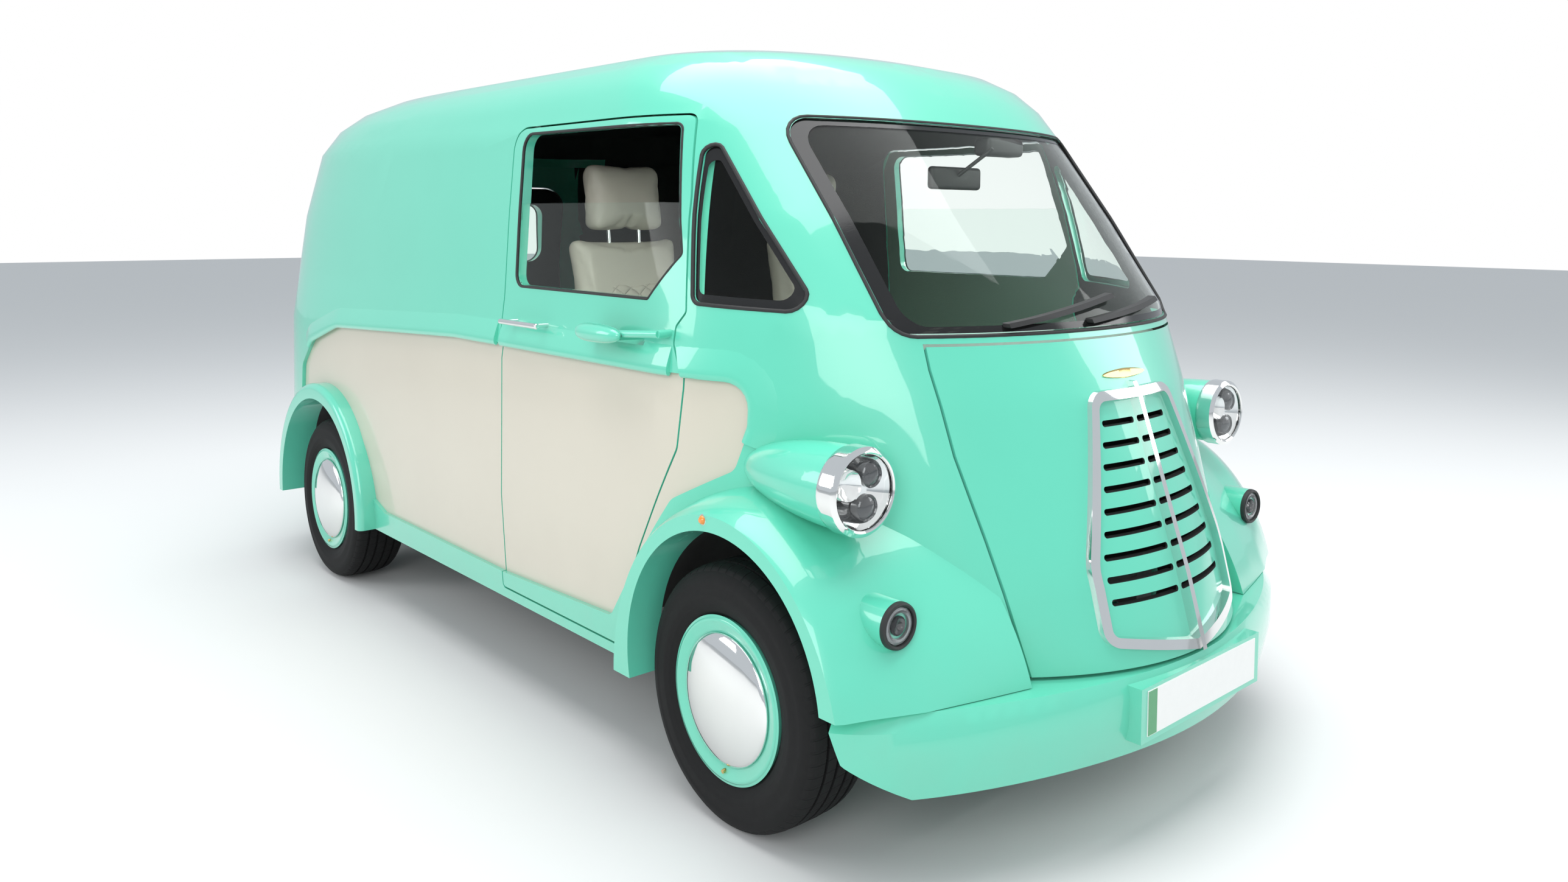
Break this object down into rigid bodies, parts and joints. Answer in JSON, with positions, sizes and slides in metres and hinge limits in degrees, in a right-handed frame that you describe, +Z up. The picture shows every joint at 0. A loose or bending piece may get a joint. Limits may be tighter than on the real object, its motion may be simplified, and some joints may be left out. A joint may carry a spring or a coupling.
{
  "type": "panel van",
  "caption": "Small rounded panel van with a bluff louvred nose, bullet headlamps on the wings, flared wheel arches, hinged doors and bonnet, and steered front wheels.",
  "frame": {"origin": "centre of the bounding box in plan, on the ground under the wheels", "axes": "+Y towards the rear, the front faces -Y; +X towards the van's left side; +Z up"},
  "size_m": [2.002, 4.3438, 2.0459],
  "materials": {
    "mint_paint": "gloss",
    "glass_clear": "clear",
    "chrome_trim": "polished",
    "lamp_glass": "clear",
    "red_lamp": "gloss",
    "plate_white": "satin",
    "frame_black": "satin",
    "battery_grey": "satin",
    "hub_steel": "rough",
    "tyre_rubber": "matte",
    "dash_trim": "matte",
    "cream_trim": "satin",
    "seat_cream": "satin",
    "wiper_black": "matte",
    "floor_lining": "matte"
  },
  "bodies": {
    "van": {"body_side_right": "mint_paint", "body_side_left": "mint_paint", "roof_panel": "mint_paint", "floor_pan": "floor_lining", "windscreen": "glass_clear", "quarter_glass": "glass_clear", "wing_right": "mint_paint", "wing_left": "mint_paint", "headlamp_bezels": "chrome_trim", "lamp_lenses": "lamp_glass", "bumper_front": "mint_paint", "plate_front": "plate_white", "frame_rails": "frame_black", "frame_crossmembers": "frame_black", "battery_pack": "battery_grey", "rear_axle": "frame_black", "dashboard": "dash_trim", "seats": "seat_cream", "rear_lamps": "red_lamp", "bumper_rear": "mint_paint", "wipers": "wiper_black"},
    "bonnet": {"bonnet": "mint_paint", "grille_frame": "chrome_trim", "grille_louvres": "mint_paint"},
    "door_right": {"door_right": "mint_paint", "door_glass_right": "glass_clear", "door_handle_right": "chrome_trim"},
    "rear_door_right": {"rear_door_right": "mint_paint", "rear_glass_right": "glass_clear"},
    "knuckle_right": {"knuckle_right": "hub_steel"},
    "wheel_front_right": {"tyre_front_right": "tyre_rubber", "wheel_front_right": "mint_paint"},
    "wheel_rear_right": {"tyre_rear_right": "tyre_rubber", "wheel_rear_right": "mint_paint"},
    "door_left": {"door_left": "mint_paint", "door_glass_left": "glass_clear", "door_handle_left": "chrome_trim"},
    "rear_door_left": {"rear_door_left": "mint_paint", "rear_glass_left": "glass_clear"},
    "knuckle_left": {"knuckle_left": "hub_steel"},
    "wheel_front_left": {"tyre_front_left": "tyre_rubber", "wheel_front_left": "mint_paint"},
    "wheel_rear_left": {"tyre_rear_left": "tyre_rubber", "wheel_rear_left": "mint_paint"},
    "steering_wheel": {"steering_wheel": "cream_trim"}
  },
  "joints": [
    {"name": "bonnet_hinge", "type": "hinge", "parent": "van", "child": "bonnet", "pos_m": [0, -2.1759, 0.44], "axis": [1, 0, 0], "range_deg": [0, 40]},
    {"name": "door_right_hinge", "type": "hinge", "parent": "van", "child": "door_right", "pos_m": [-0.944, -1.1859, 0.9], "axis": [0, 0, 1], "range_deg": [0, 65]},
    {"name": "rear_door_right_hinge", "type": "hinge", "parent": "van", "child": "rear_door_right", "pos_m": [-0.607, 2.1681, 1], "axis": [0, 0, 1], "range_deg": [0, 95]},
    {"name": "steer_right", "type": "hinge", "parent": "van", "child": "knuckle_right", "pos_m": [-0.79, -1.3809, 0.336], "axis": [0, 0, 1], "range_deg": [-30, 30]},
    {"name": "wheel_front_right_spin", "type": "hinge", "parent": "knuckle_right", "child": "wheel_front_right", "pos_m": [-0.82, -1.3809, 0.336], "axis": [1, 0, 0], "continuous": true},
    {"name": "wheel_rear_right_spin", "type": "hinge", "parent": "van", "child": "wheel_rear_right", "pos_m": [-0.82, 1.3911, 0.336], "axis": [1, 0, 0], "continuous": true},
    {"name": "door_left_hinge", "type": "hinge", "parent": "van", "child": "door_left", "pos_m": [0.944, -1.1859, 0.9], "axis": [0, 0, -1], "range_deg": [0, 65]},
    {"name": "rear_door_left_hinge", "type": "hinge", "parent": "van", "child": "rear_door_left", "pos_m": [0.607, 2.1681, 1], "axis": [0, 0, -1], "range_deg": [0, 95]},
    {"name": "steer_left", "type": "hinge", "parent": "van", "child": "knuckle_left", "pos_m": [0.79, -1.3809, 0.336], "axis": [0, 0, 1], "range_deg": [-30, 30]},
    {"name": "wheel_front_left_spin", "type": "hinge", "parent": "knuckle_left", "child": "wheel_front_left", "pos_m": [0.82, -1.3809, 0.336], "axis": [1, 0, 0], "continuous": true},
    {"name": "wheel_rear_left_spin", "type": "hinge", "parent": "van", "child": "wheel_rear_left", "pos_m": [0.82, 1.3911, 0.336], "axis": [1, 0, 0], "continuous": true},
    {"name": "steering_wheel_turn", "type": "hinge", "parent": "van", "child": "steering_wheel", "pos_m": [-0.4, -1.0059, 1.09], "axis": [0, 0.867, 0.4983], "range_deg": [-450, 450]}
  ],
  "couplings": [
    {"joint": "steer_left", "follows": "steer_right", "ratio": 1},
    {"joint": "steering_wheel_turn", "follows": "steer_right", "ratio": 15}
  ]
}
